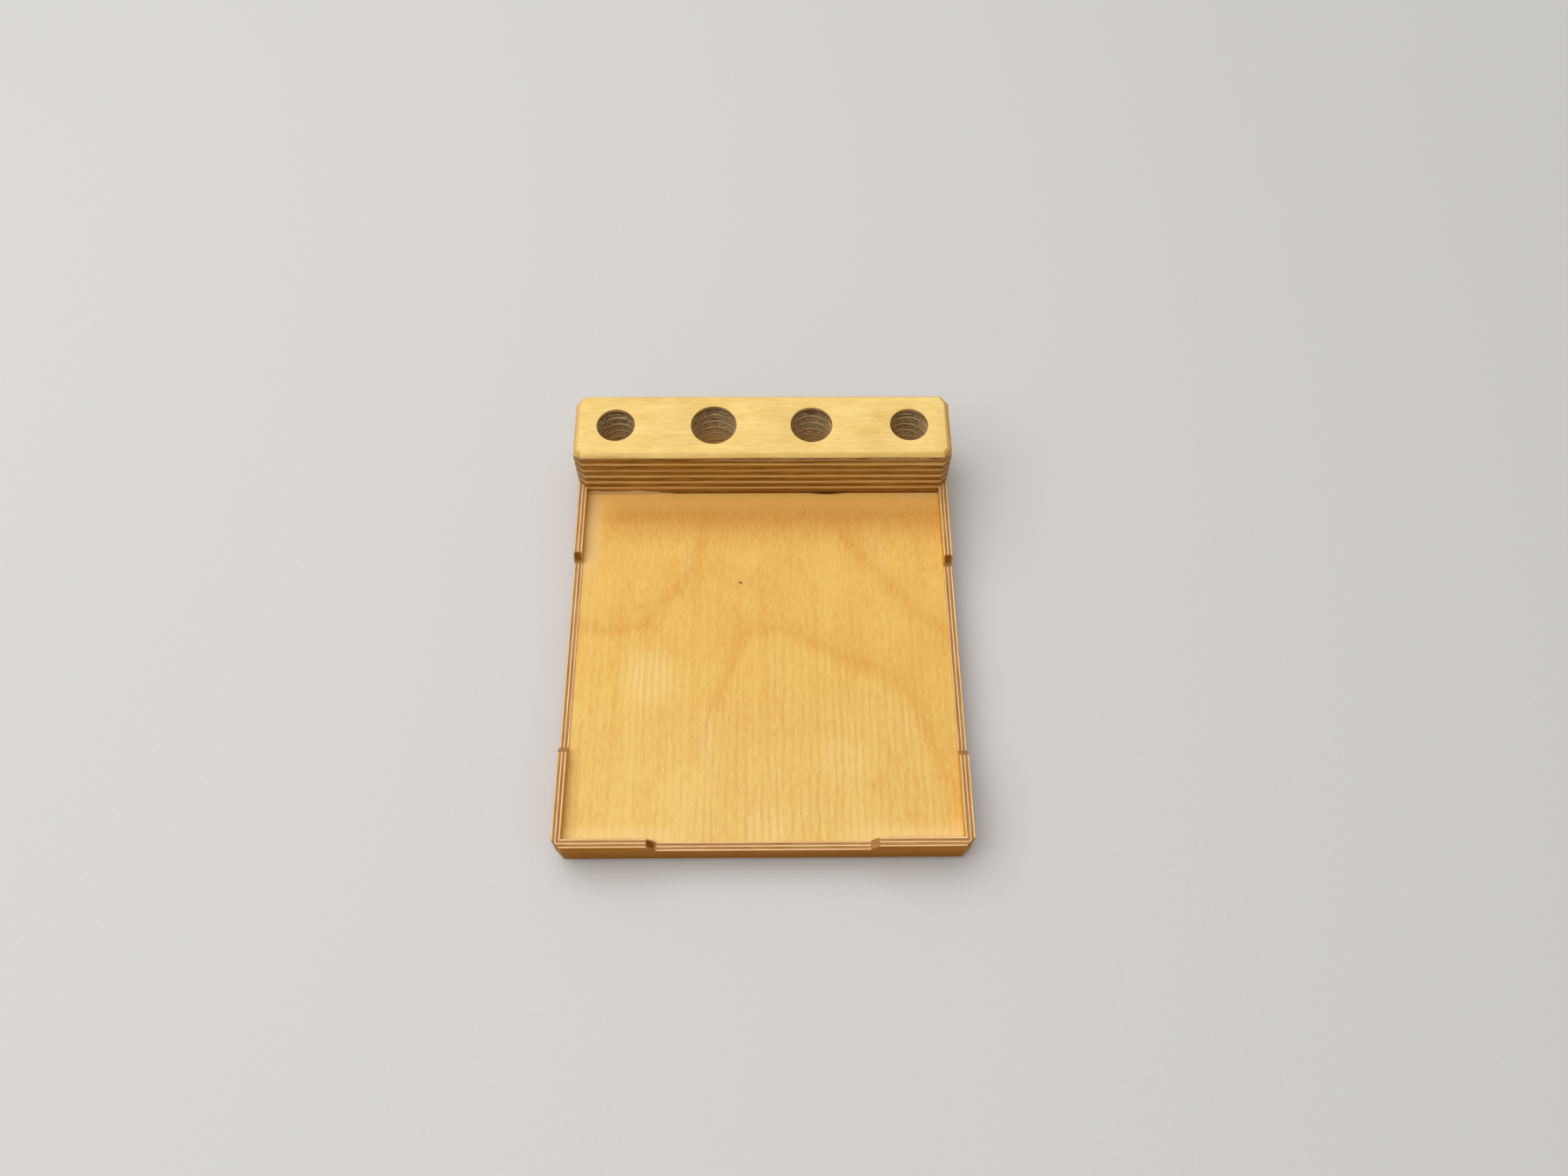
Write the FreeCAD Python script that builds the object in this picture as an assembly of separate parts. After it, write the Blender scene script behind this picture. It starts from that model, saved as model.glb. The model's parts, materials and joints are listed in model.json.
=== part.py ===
"""Bench caddy in birch plywood: a shallow tray with a drilled tool block across its back.

The block, the tray's base and its three edge strips are plywood, and every veneer is a solid of its own.
The strips are glued to the base's edges, mitred at the front corners and coped to the block's corners.

Millimetres. X runs to the right, Y from the tray's front edge to the block's back, Z up.
The origin is on the bench top, below the middle of the part.
"""

import FreeCAD
import Part
import math
import os

# Tray, outside
tray_width = 100.0
tray_depth = 100.0
corner_chamfer = 2.2

# Base panel
base_thickness = 6.0
base_ply_count = 5
base_long_ply = 1.1

# Edge strips and their finger dips
strip_height = 9.0
strip_thickness = 2.2
strip_ply_count = 5
strip_long_ply = 0.38
strip_lower_ease = 0.3
front_dip_length = 55.0
side_dip_length = 56.0
dip_slope_run = 2.1
dip_rounding = 1.2
dip_above_floor = 0.3
left_dip_shift = 0.9
right_dip_shift = -0.4

# Tool block
block_depth = 20.0
block_thickness = 18.0
block_ply_count = 13
block_long_ply = 1.2
block_second_ply_extra = 0.55
block_lowest_ply = 0.65
block_top_chamfer = 1.1
bore_pitch = 25.9
far_left_bore = 10.0
left_bore = 12.0
right_bore = 11.0
far_right_bore = 10.0

# Bumper feet
foot_diameter = 8.0
foot_height = 2.0
foot_rounding = 1.5
foot_side_inset = 7.0
foot_end_inset = 4.2

# Levels and planes that follow
half_width = tray_width / 2
front_y = -(tray_depth + block_depth) / 2
back_y = -front_y
block_front_y = front_y + tray_depth
under_z = foot_height
floor_z = under_z + base_thickness
strip_top_z = under_z + strip_height
block_top_z = floor_z + block_thickness
dip_z = floor_z + dip_above_floor

V = FreeCAD.Vector
x_axis, y_axis, z_axis = range(3)


def prism(corners, sweep):
    """Solid swept from a flat outline along a vector."""
    return Part.Face(Part.makePolygon(corners + corners[:1])).extrude(sweep)


def plan_prism(outline, low_z, high_z):
    """Solid with an outline in plan, between two levels."""
    return prism([V(x, y, low_z) for x, y in outline], V(0, 0, high_z - low_z))


def chamfered_plan(near_y, far_y):
    """Full-width rectangle with its four corners cut off at 45 degrees."""
    cut = corner_chamfer
    right = [
        (half_width - cut, near_y),
        (half_width, near_y + cut),
        (half_width, far_y - cut),
        (half_width - cut, far_y),
    ]
    return right + [(-x, y) for x, y in reversed(right)]


def edges_at_level(solid, z):
    """Edges of a solid that lie flat at one level."""
    boxes = [(edge, edge.BoundBox) for edge in solid.Edges]
    return [edge for edge, box in boxes if abs(box.ZMin - z) + abs(box.ZMax - z) < 1e-6]


def ply_stack(thickness, count, long_ply):
    """Thickness of each ply: those with long grain are given, the cross plies between them share the rest."""
    cross_count = count // 2
    cross_ply = (thickness - long_ply * (count - cross_count)) / cross_count
    return [cross_ply if index % 2 else long_ply for index in range(count)]


def block_ply_stack():
    """Plies of the block from the top: the second is a thicker one, and the lowest is sanded thin."""
    spared = block_long_ply - block_lowest_ply - block_second_ply_extra
    plies = ply_stack(block_thickness + spared, block_ply_count, block_long_ply)
    plies[1] += block_second_ply_extra
    plies[-1] = block_lowest_ply
    return plies


def laminate(board, axis, first_face, inwards, plies):
    """Cut a board into its plies along an axis, from its first face inwards (1 or -1)."""
    box = board.BoundBox
    margin = V(1, 1, 1)
    low = V(box.XMin, box.YMin, box.ZMin) - margin
    size = V(box.XLength, box.YLength, box.ZLength) + margin * 2
    veneers = []
    near = first_face
    for ply in plies:
        far = near + inwards * ply
        corner = V(low)
        corner[axis] = min(near, far)
        extent = V(size)
        extent[axis] = ply
        slab = Part.makeBox(extent.x, extent.y, extent.z, corner)
        veneers.append(board.common(slab).Solids[0])
        near = far
    return veneers


def tray_envelope():
    """Outer limits of base and strips: chamfered corners, lower edges eased except at the back."""
    blank = plan_prism(chamfered_plan(front_y, back_y), under_z, strip_top_z)
    lower = [edge for edge in edges_at_level(blank, under_z) if edge.BoundBox.YMin < back_y - corner_chamfer / 2]
    return blank.makeChamfer(strip_lower_ease, lower)


def block_blank():
    """Block before its top edges are chamfered and its bores drilled."""
    return plan_prism(chamfered_plan(block_front_y, back_y), floor_z, block_top_z)


def tool_block():
    """Drilled block: the bores go right through and the base closes them below."""
    blank = block_blank()
    block = blank.makeChamfer(block_top_chamfer, edges_at_level(blank, block_top_z))
    diameters = [far_left_bore, left_bore, right_bore, far_right_bore]
    middle = (len(diameters) - 1) / 2
    bore_y = (block_front_y + back_y) / 2
    for index, diameter in enumerate(diameters):
        bottom = V((index - middle) * bore_pitch, bore_y, floor_z)
        block = block.cut(Part.makeCylinder(diameter / 2, block_thickness, bottom))
    return block


def base_panel():
    """Panel between the strips, from the front strip to the block's back face."""
    inner = half_width - strip_thickness
    near_y = front_y + strip_thickness
    outline = [(-inner, near_y), (inner, near_y), (inner, back_y), (-inner, back_y)]
    return plan_prism(outline, under_z, floor_z)


def dip_profile(middle, length):
    """Corners (place along the strip, level) of a finger dip, with its slopes carried above the strip."""
    half_top = length / 2
    half_foot = half_top - dip_slope_run
    rise = strip_top_z - dip_z
    half_over = half_top + dip_slope_run
    over_z = strip_top_z + rise
    return [
        (middle - half_over, over_z),
        (middle - half_foot, dip_z),
        (middle + half_foot, dip_z),
        (middle + half_over, over_z),
    ]


def rounded_dip(strip, axis):
    """Strip with the bends eased between its dip's floor, the dip's slopes and the top edge."""
    bends = []
    for edge in edges_at_level(strip, dip_z) + edges_at_level(strip, strip_top_z):
        start, end = (vertex.Point for vertex in edge.Vertexes)
        if abs(end[axis] - start[axis]) < 1e-6:
            bends.append(edge)
    return strip.makeFillet(dip_rounding, bends)


def front_strip(envelope):
    """Front edge strip, mitred at both ends."""
    inner = half_width - strip_thickness
    inner_y = front_y + strip_thickness
    outline = [(-half_width, front_y), (half_width, front_y), (inner, inner_y), (-inner, inner_y)]
    strip = plan_prism(outline, under_z, strip_top_z).common(envelope)
    dip = prism([V(x, front_y, z) for x, z in dip_profile(0.0, front_dip_length)], V(0, strip_thickness, 0))
    return rounded_dip(strip.cut(dip), x_axis)


def side_strip(envelope, side, dip_shift):
    """Side edge strip: mitred in front, coped to the block's corner and passing under the block."""
    outer = side * half_width
    inner = side * (half_width - strip_thickness)
    inner_y = front_y + strip_thickness
    outline = [(outer, front_y), (inner, inner_y), (inner, back_y), (outer, back_y)]
    strip = plan_prism(outline, under_z, strip_top_z).common(envelope).cut(block_blank())
    dip_middle = (inner_y + block_front_y) / 2 + dip_shift
    profile = dip_profile(dip_middle, side_dip_length)
    dip = prism([V(outer, y, z) for y, z in profile], V(inner - outer, 0, 0))
    return rounded_dip(strip.cut(dip), y_axis)


def bumper_foot(x, y):
    """Clear bumper: a short straight band under the base, rounded off to a flat."""
    radius = foot_diameter / 2
    flat = radius - foot_rounding
    shoulder = V(flat + foot_rounding * math.sin(math.pi / 4), 0, foot_rounding * (1 - math.cos(math.pi / 4)))
    outline = [
        Part.makeLine(V(0, 0, 0), V(flat, 0, 0)),
        Part.Arc(V(flat, 0, 0), shoulder, V(radius, 0, foot_rounding)).toShape(),
        Part.makeLine(V(radius, 0, foot_rounding), V(radius, 0, foot_height)),
        Part.makeLine(V(radius, 0, foot_height), V(0, 0, foot_height)),
        Part.makeLine(V(0, 0, foot_height), V(0, 0, 0)),
    ]
    foot = Part.Face(Part.Wire(outline)).revolve(V(0, 0, 0), V(0, 0, 1), 360)
    foot.translate(V(x, y, 0))
    return foot


def all_parts():
    """Every piece of the caddy by name. Plies are numbered from the top, or from the outside of a strip."""
    envelope = tray_envelope()
    base_plies = ply_stack(base_thickness, base_ply_count, base_long_ply)
    strip_plies = ply_stack(strip_thickness, strip_ply_count, strip_long_ply)
    left = side_strip(envelope, -1, left_dip_shift)
    right = side_strip(envelope, 1, right_dip_shift)
    veneers = {
        "block_ply": laminate(tool_block(), z_axis, block_top_z, -1, block_ply_stack()),
        "base_ply": laminate(base_panel(), z_axis, floor_z, -1, base_plies),
        "front_strip_ply": laminate(front_strip(envelope), y_axis, front_y, 1, strip_plies),
        "left_strip_ply": laminate(left, x_axis, -half_width, 1, strip_plies),
        "right_strip_ply": laminate(right, x_axis, half_width, -1, strip_plies),
    }
    parts = {}
    for name, plies in veneers.items():
        for number, ply in enumerate(plies, start=1):
            parts[f"{name}_{number:02d}"] = ply
    foot_x = half_width - foot_side_inset
    foot_y = back_y - foot_end_inset
    for side, x in (("left", -foot_x), ("right", foot_x)):
        parts[f"front_{side}_foot"] = bumper_foot(x, -foot_y)
        parts[f"back_{side}_foot"] = bumper_foot(x, foot_y)
    return parts


os.makedirs("parts", exist_ok=True)
for node, shape in all_parts().items():
    shape.exportStep(f"parts/{node}.step")
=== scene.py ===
"""Looks of the bench caddy: lacquered birch plywood, clear bumper feet, and a plain studio around them.

Metres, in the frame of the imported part: X to the right, Y from the tray's front edge to the block's back,
Z up. Named sizes and shader coordinates are millimetres in the same frame. Colours are linear.
"""

import json
import math

import bmesh
import bpy
from mathutils import Matrix, Vector, noise


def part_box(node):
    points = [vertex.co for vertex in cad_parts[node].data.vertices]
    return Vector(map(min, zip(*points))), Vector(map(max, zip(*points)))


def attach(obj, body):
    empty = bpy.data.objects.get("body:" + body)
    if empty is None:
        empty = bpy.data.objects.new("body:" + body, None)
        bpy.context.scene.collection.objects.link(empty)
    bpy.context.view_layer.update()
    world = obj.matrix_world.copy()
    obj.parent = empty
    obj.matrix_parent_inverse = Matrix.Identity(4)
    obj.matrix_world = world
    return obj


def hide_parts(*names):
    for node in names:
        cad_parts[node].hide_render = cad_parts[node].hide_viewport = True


MM = 0.001
X_AXIS, Y_AXIS, Z_AXIS = range(3)

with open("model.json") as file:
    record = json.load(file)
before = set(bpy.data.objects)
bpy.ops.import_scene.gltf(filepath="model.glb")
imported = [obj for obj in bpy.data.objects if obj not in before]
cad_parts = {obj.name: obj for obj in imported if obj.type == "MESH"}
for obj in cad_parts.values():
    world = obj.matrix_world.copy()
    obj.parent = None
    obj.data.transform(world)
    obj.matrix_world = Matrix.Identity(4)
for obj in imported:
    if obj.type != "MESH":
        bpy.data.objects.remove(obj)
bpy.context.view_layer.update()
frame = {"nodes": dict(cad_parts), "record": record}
nodes = frame["nodes"]

# Camera, as fitted to the photograph
PHOTO_WIDTH_PX = 1800
FOCAL_LENGTH_PX = 1462.1
CAMERA_PLACE = Vector((1.9, -148.1, 302.6)) * MM
CAMERA_DOWN = math.radians(61.69)
CAMERA_RIGHT = math.radians(1.29)
CAMERA_ROLL = math.radians(0.92)
CAMERA_NEAR = 10.0

# Veneer colours: along the grain in its dark and light parts, and across its ends
BLOCK_LONG = ((0.82, 0.53, 0.148), (0.97, 0.72, 0.265))
# Upright cut edges of the block's long plies: a darker copy of their face colour, painted shade
BLOCK_EDGE_SHADED = ((0.68, 0.380, 0.115), (0.80, 0.515, 0.210))
BLOCK_CROSS = ((0.56, 0.31, 0.075), (0.72, 0.43, 0.12))
STRIP_LONG = ((0.84, 0.49, 0.20), (0.98, 0.66, 0.34))
STRIP_CROSS = ((0.58, 0.32, 0.11), (0.72, 0.44, 0.18))
# Outsides of the strips: a darker copy of their wood, painted shade, and darker still at their foot, painted
# shade
STRIP_OUTSIDE_SHADED = ((0.375, 0.138, 0.008), (0.495, 0.205, 0.024))
STRIP_FOOT_SHADE = (0.235, 0.080, 0.003)
STRIP_INSIDE = ((0.59, 0.355, 0.070), (0.79, 0.510, 0.125))
STRIP_TOP_END = ((0.34, 0.155, 0.045), (0.55, 0.28, 0.100))
# End grain on the dip slopes that face away from the light, darkened as painted shade
STRIP_SLOPE_END_SHADED = ((0.17, 0.050, 0.002), (0.30, 0.105, 0.006))
END_GRAIN = ((0.20, 0.076, 0.006), (0.46, 0.225, 0.040))
# Sloping edges of the block: sanded brown at its ends and corners, and painted shade growing to the right
SANDED_AND_SHADED_EDGE = (0.66, 0.34, 0.09)
# Painted highlight on the rounded upper edge of the block's second ply
SHOULDER_HIGHLIGHT = (0.90, 0.60, 0.36)
BORE_WALL = ((0.19, 0.110, 0.048), (0.95, 0.76, 0.45))
BORE_RIM = (0.62, 0.37, 0.12)
BORE_CHIP = (0.95, 0.85, 0.62)
BORE_LINE = (0.10, 0.050, 0.016)
GLUE_LINE = (0.11, 0.045, 0.010)
GLUE_BEAD = (0.70, 0.47, 0.21)
# Painted shade in the opened glue lines and on the floor below the lower one
CREVICE_SHADE = (0.11, 0.038, 0.003)

# Colours of the tray floor: the wood and its flame figure, the band beside the block, lines, flecks of
# painted sheen and painted light
FLOOR_WOOD = (0.85, 0.53, 0.116)
FLOOR_FRONT = (0.87, 0.57, 0.150)
FLOOR_FIGURE = (0.68, 0.29, 0.020)
FLOOR_BESIDE_BLOCK = (0.70, 0.325, 0.058)
# Painted light on the floor at the block's foot, against the block's shadow
FLOOR_LIGHT_AT_BLOCK = (0.98, 0.57, 0.15)
FLOOR_CORD = (0.62, 0.345, 0.050)
# Pale flecks: painted sheen, and the pale wear at the front edge
FLOOR_SHEEN_AND_WEAR = (0.97, 0.72, 0.29)
FLOOR_HAZE = (0.88, 0.63, 0.32)
SPECK = (0.12, 0.055, 0.02)

# Colours of the clear feet, from their clearest to their cloudiest parts
FOOT_PLASTIC = ((0.80, 0.80, 0.78), (0.90, 0.90, 0.89))

# Specular level of the lacquer, thin on the strips
BLOCK_GLOSS = 0.08
STRIP_GLOSS = 0.01
FLOOR_GLOSS = 0.25

# Shift between the grain of one piece and the next
GRAIN_SHIFT = 700.0

# Heights between which painted shade darkens the strips' outsides downwards, and the slopes of their dips
# upwards
STRIP_SHADE = (9.5, 2.5)
SLOPE_SHADE_FADE = (8.3, 9.7)

# How softly the painted shade on those slopes ends at their outer plies
SLOPE_SHADE_BLUR = 0.1

# Growth-ring lines on the tray floor, left to right, as points (x, y)
LEFT_RING = ((-48, -1), (-39, -2), (-31, -1), (-24, 8), (-18, 17), (-14, 33), (0, 60))
MIDDLE_RING_LEFT = ((-36, -62), (-24, -50), (-15, -33), (-11, -22), (-7, -11), (-4, -4))
MIDDLE_RING_TOP = ((1, -2), (9, -4), (15, -7), (24, -12), (32, -16))
MIDDLE_RING_RIGHT = ((37, -23), (41, -33), (45, -45), (55, -65))
MIDDLE_RING = MIDDLE_RING_LEFT + MIDDLE_RING_TOP + MIDDLE_RING_RIGHT
RIGHT_RING = ((-10, 60), (15, 36), (24, 22), (32, 12), (42, 1), (48, -4))
RING_SPAN = 200.0

# Half width of a ring line, reach of the stain behind it and of its soft edge, and how far they stray
RING_LINE = 3.6
RING_STAIN = 9.0
RING_EDGE = 1.5
RING_STRAY = 4.0

# Where the rings fade in from the front, and where their left legs do so sooner
RING_FRONT_Y = (-62.0, -30.0)
RING_LEG_X = (-6.0, 6.0)
RING_LEG_Y = (-46.0, -26.0)

# Fine wavy lines in the floor veneer: their pitch, where they fade in, and where they do so under the ring
CORD_PITCH = 1.95
CORD_Y = (22.0, -6.0)
CORD_ARCH = (4.0, -4.0)

# Patches of painted sheen on the floor: x, y, half lengths along both and strength
SHEEN_PATCHES = (
    (-29, -15, 10, 12, 1.1),
    (-14, -30, 4, 12, 0.7),
    (19, -37, 9, 9, 0.6),
    (1, -55, 10, 9, 0.9),
    (30, 22, 6, 11, 0.4),
    (-20, 18, 4, 10, 0.4),
    (37, -29, 4, 9, 0.4),
)

# Where the floor's wood gets paler towards the front, and where its front edge is worn beside the dip
FRONT_TONE_Y = (-5.0, -50.0)
FRONT_WEAR_Y = (-52.0, -57.0)
FRONT_WEAR_X = (15.0, 30.0)

# Orange band of the floor beside the block: where it fades in, how far it strays, and where painted light
# makes its back edge paler
BAND_Y = (20.0, 33.0)
BAND_X = (-47.0, -38.0)
BAND_STRAY = 6.0
LIGHT_AT_BLOCK_Y = (32.0, 39.0)

# Haze of glue on the floor, along its left edge and in its right back corner
HAZE_LEFT_X = (-42.0, -47.0)
HAZE_LEFT_Y = (10.0, 22.0)
HAZE_CORNER_X = (35.0, 42.0)
HAZE_CORNER_Y = (35.5, 38.5)

# Dark specks in the floor veneer: x, y and radius
FLOOR_SPECKS = ((-6.1, 12.3, 0.4), (-5.7, 12.0, 0.35), (24.0, 23.7, 0.25), (11.3, 34.0, 0.2))

# Block plies: the steps of their meshes, how far their boundaries stray as a share of the thinner ply,
# and how their edges and bores are worn
BLOCK_EDGE_STEP = 1.0
BORE_SIDES = 64
SHARP_EDGE = math.radians(50)
PLY_STRAY = 0.18
EDGE_EASE = 0.14
GLUE_GROOVE = 0.03
BORE_GROOVE = 0.15
BORE_GROOVE_SHARE = 0.15
BORE_RECESS = 0.05
BORE_TEAR = 0.10
BORE_MOUTH = 0.14
BORE_RIM_DEPTH = (1.2, 0.8)

# Noise that moves the block's boundaries, seams, glue and bores: features per millimetre, and the shift from
# one boundary to the next
STRAY_SLOW = 0.06
STRAY_SLOW_SHIFT = 310.0
STRAY_QUICK = 0.3
STRAY_QUICK_SHIFT = 170.0
STRAY_QUICK_SHARE = 0.45
SEAM_RAGGED = 0.35
SEAM_SHIFT = 90.0
BEAD_LUMPS = 0.25
BORE_FIBRES = 0.9

# Glue lines that have opened at the block's front: boundary, from x, to x, height of the gap and of its
# painted shade
TOP_SEAM = (1, -17.0, 62.0, 0.35, 0.5)
FOOT_SEAM = (13, 10.5, 25.0, 0.2, 1.0)
SEAM_RAMP = 6.0
SEAM_DEPTH = 0.5

# Where the upper one goes round the block's right end, measured in from that end
SEAM_ROUND_END = (1.7, 1.2)

# Painted shade of the lower one on the floor: x, y and half lengths along both
FOOT_SHADE = (17.5, 40.0, 6.5, 0.6)

# Glue squeezed out at the block's foot: from x, to x, how far it comes forward and how high it reaches
BEAD_START, BEAD_END, BEAD_RAMP = -57.0, -22.0, 10.0
BEAD_DEPTH = 0.35
BEAD_HEIGHT = 1.6
BEAD_FACE = (0.02, 0.08)

# Ledge at the block's ends, where its top veneer is sanded back, and rounding of the ply below, whose profile
# is given in shares of its inset and its drop
END_LEDGE = 0.4
SHOULDER_DROP = 0.8
SHOULDER_INSET = 0.35
SHOULDER_INSET_BEHIND = 0.08
SHOULDER_PROFILE = ((1.0, 0.0), (0.4, 0.3), (0.1, 0.6), (0.0, 1.0))

# Painted highlight on the upper edge of that ply: depths where it fades in and out, and where it begins
# beside the seam and, measured in from them, at the ends
SHOULDER_TOP = (0.0, 0.3)
SHOULDER_FOOT = (1.3, 0.7)
SHOULDER_SEAM_X = (TOP_SEAM[1] - 5.0, TOP_SEAM[1] + 10.0)
SHOULDER_END = (2.0, 1.0)

# Where along the block painted shade makes its sloping edges browner to the right, and how high the darkening
# at its foot reaches
SHADE_TO_RIGHT_X = (-20.0, 40.0)
FOOT_DARKENING = 0.9

# Dullest ply of the block, and how softly its dull look ends
DULL_PLY = "block_ply_05"
DULL_BLUR = 0.2

# How squarely the block's plies are cut where they begin to look like end grain, and where they wholly do
LONG_PLY_CUT = (0.45, 0.95)
CROSS_PLY_CUT = (0.3, 0.75)

# How squarely a surface faces up where it stops being level
NOT_LEVEL = (0.9, 0.7)

# Edges of the other veneers
VENEER_EASE = 0.05
EASE_SEGMENTS = 2
WELD_DISTANCE = 0.001

# Studio, in metres: colour of the surround, its dimmer light on the part, the floor and where that fades
# into the surround, and the panel of light
SURROUND = (0.66, 0.65, 0.64)
SURROUND_LIGHT = (0.38, 0.375, 0.37)
STUDIO_FLOOR = ((0.64, 0.625, 0.60), (0.67, 0.655, 0.63))
FLOOR_REACH = 6.0
FLOOR_FADE = (0.25, 0.8)
PANEL_PLACE = Vector((-0.4, 0.1, 1.0))
PANEL_WIDTH = 1.6
PANEL_DEPTH = 1.3
PANEL_POWER = 12.2


class Shader:
    """A node material put together call by call. Inputs are numbers, tuples or sockets."""

    def __init__(self, name):
        self.material = bpy.data.materials.new(name)
        self.material.use_nodes = True
        self.tree = self.material.node_tree
        self.tree.nodes.clear()
        self.place = self.add("TexCoord", {}, "Object")
        self.mm = self.add("VectorMath", {0: self.place, "Scale": 1 / MM}, operation="SCALE")
        self.x, self.y, self.z = (self.component(self.mm, axis) for axis in (X_AXIS, Y_AXIS, Z_AXIS))
        self.random = self.add("ObjectInfo", {}, "Random")
        shift = self.product(self.random, GRAIN_SHIFT)
        self.own_mm = self.add("VectorMath", {0: self.mm, 1: shift}, operation="ADD")

    def add(self, kind, inputs, output=0, **settings):
        """New node with its settings and inputs; gives one of its outputs."""
        node = self.tree.nodes.new("ShaderNode" + kind)
        for name, value in settings.items():
            setattr(node, name, value)
        for key, value in inputs.items():
            if isinstance(value, bpy.types.NodeSocket):
                self.tree.links.new(value, node.inputs[key])
            else:
                node.inputs[key].default_value = value
        return node.outputs[output]

    def math(self, operation, *values, clamp=False):
        """Result of one operation on numbers."""
        return self.add("Math", dict(enumerate(values)), operation=operation, use_clamp=clamp)

    def product(self, first, *others):
        """All the values multiplied."""
        total = first
        for value in others:
            total = self.math("MULTIPLY", total, value)
        return total

    def span(self, value, low, high):
        """Low where the value is 0, high where it is 1."""
        return self.math("MULTIPLY_ADD", value, high - low, low)

    def smooth(self, value, low, high):
        """0 below low, 1 above high, eased in between; low may be the higher one."""
        inputs = {"Value": value, "From Min": low, "From Max": high}
        return self.add("MapRange", inputs, interpolation_type="SMOOTHSTEP")

    def mix(self, share, first, second):
        """Colour between two: first at share 0, second at share 1."""
        inputs = {0: share, 6: self.color(first), 7: self.color(second)}
        return self.add("Mix", inputs, 2, data_type="RGBA")

    @staticmethod
    def color(value):
        """A colour as an input takes it: a tuple gets its alpha, a socket stays."""
        return (*value, 1.0) if isinstance(value, tuple) else value

    def component(self, vector, axis):
        """A vector's part along an axis."""
        return self.add("SeparateXYZ", {0: vector}, axis)

    def normal(self, axis):
        """The surface normal's part along an axis, -1 to 1."""
        return self.component(self.add("NewGeometry", {}, "Normal"), axis)

    def facing(self, axis):
        """How squarely the surface faces along an axis, 0 to 1."""
        return self.math("ABSOLUTE", self.normal(axis))

    def around(self, value):
        """A noise value, shifted to stray about 0."""
        return self.math("SUBTRACT", value, 0.5)

    def layers(self, base, *layers):
        """Base plus each layer at its share, kept between 0 and 1."""
        total = base
        for value, share in layers:
            total = self.math("MULTIPLY_ADD", value, share, total)
        return self.math("ADD", total, 0.0, clamp=True)

    def cloud(self, place, scale, detail):
        """Even noise; scale is in features per millimetre."""
        return self.add("TexNoise", {"Vector": place, "Scale": scale, "Detail": detail})

    def grain(self, axis, along, across, detail=3.0, roughness=0.55):
        """Noise drawn out along the grain; along and across are features per millimetre."""
        factors = [across] * 3
        factors[axis] = along
        place = self.add("VectorMath", {0: self.own_mm, 1: tuple(factors)}, operation="MULTIPLY")
        inputs = {"Vector": place, "Scale": 1.0, "Detail": detail, "Roughness": roughness}
        return self.add("TexNoise", inputs)

    def finish(self, color, roughness, height=None, height_mm=0.02, **settings):
        """Principled surface on these inputs; settings are its own even values."""
        inputs = {"Base Color": self.color(color), "Roughness": roughness, **settings}
        if height is not None:
            bump = {"Height": height, "Strength": 1.0, "Distance": height_mm * MM}
            inputs["Normal"] = self.add("Bump", bump)
        surface = self.add("BsdfPrincipled", inputs)
        output = self.tree.nodes.new("ShaderNodeOutputMaterial")
        self.tree.links.new(surface, output.inputs["Surface"])
        return self.material


def bores():
    """Middle (x, y) and radius of each bore."""
    mounts = [mount for mount in frame["record"]["mounts"] if mount["kind"] == "bore"]
    return [(mount["pos_m"][0] / MM, mount["pos_m"][1] / MM, mount["dims"]["r_mm"]) for mount in mounts]


def from_point(shader, x, y):
    """Distance from a point in plan."""
    flat = shader.add("VectorMath", {0: shader.mm, 1: (1.0, 1.0, 0.0)}, operation="MULTIPLY")
    return shader.add("VectorMath", {0: flat, 1: (x, y, 0.0)}, "Value", operation="DISTANCE")


def bore_mask(shader):
    """1 on the walls of the drilled bores, 0 elsewhere."""
    nearest = None
    for x, y, radius in bores():
        outside = shader.math("SUBTRACT", from_point(shader, x, y), radius)
        nearest = outside if nearest is None else shader.math("MINIMUM", nearest, outside)
    inside = shader.smooth(nearest, 2.0 * BORE_MOUTH, 1.5 * BORE_MOUTH)
    return shader.product(inside, shader.smooth(shader.facing(Z_AXIS), *NOT_LEVEL))


def end_grain_share(shader, grain_axis, slanting=0.3, square=0.75):
    """0 where the surface runs along the fibres, 1 where it cuts across them."""
    return shader.smooth(shader.facing(grain_axis), slanting, square)


def ply_edges(shader, stack_axis, reach):
    """1 at a veneer's glued faces, falling to 0 at a share of its thickness; on cut edges only."""
    within = shader.component(shader.add("TexCoord", {}, "Generated"), stack_axis)
    from_face = shader.math("PINGPONG", within, 0.5)
    edge_on = shader.smooth(shader.facing(stack_axis), 0.6, 0.4)
    return shader.product(shader.smooth(from_face, reach, 0.02), edge_on)


def bore_wall(shader, grain_axis, streaks):
    """Raw, torn birch in the bores: lighter along the fibres, lighter towards the bottom as painted light,
    with pale chips.
    """
    along_fibres = shader.smooth(shader.facing(grain_axis), 0.95, 0.15)
    below = shader.math("SUBTRACT", block_top, shader.z)
    # Painted light: the walls grow lighter towards the bottom
    lit_bottom = shader.smooth(below, 0.0, block_top - block_foot)
    tone = shader.layers(-0.14, (along_fibres, 0.35), (streaks, 0.82), (lit_bottom, 0.75))
    color = shader.mix(tone, *BORE_WALL)
    chips = shader.smooth(shader.cloud(shader.own_mm, 1.5, 0.0), 0.79, 0.82)
    color = shader.mix(chips, color, BORE_CHIP)
    rim = shader.product(shader.smooth(below, *BORE_RIM_DEPTH), 0.7)
    color = shader.mix(rim, color, BORE_RIM)
    return shader.mix(shader.product(ply_edges(shader, Z_AXIS, 0.3), 0.9), color, BORE_LINE)


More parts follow.
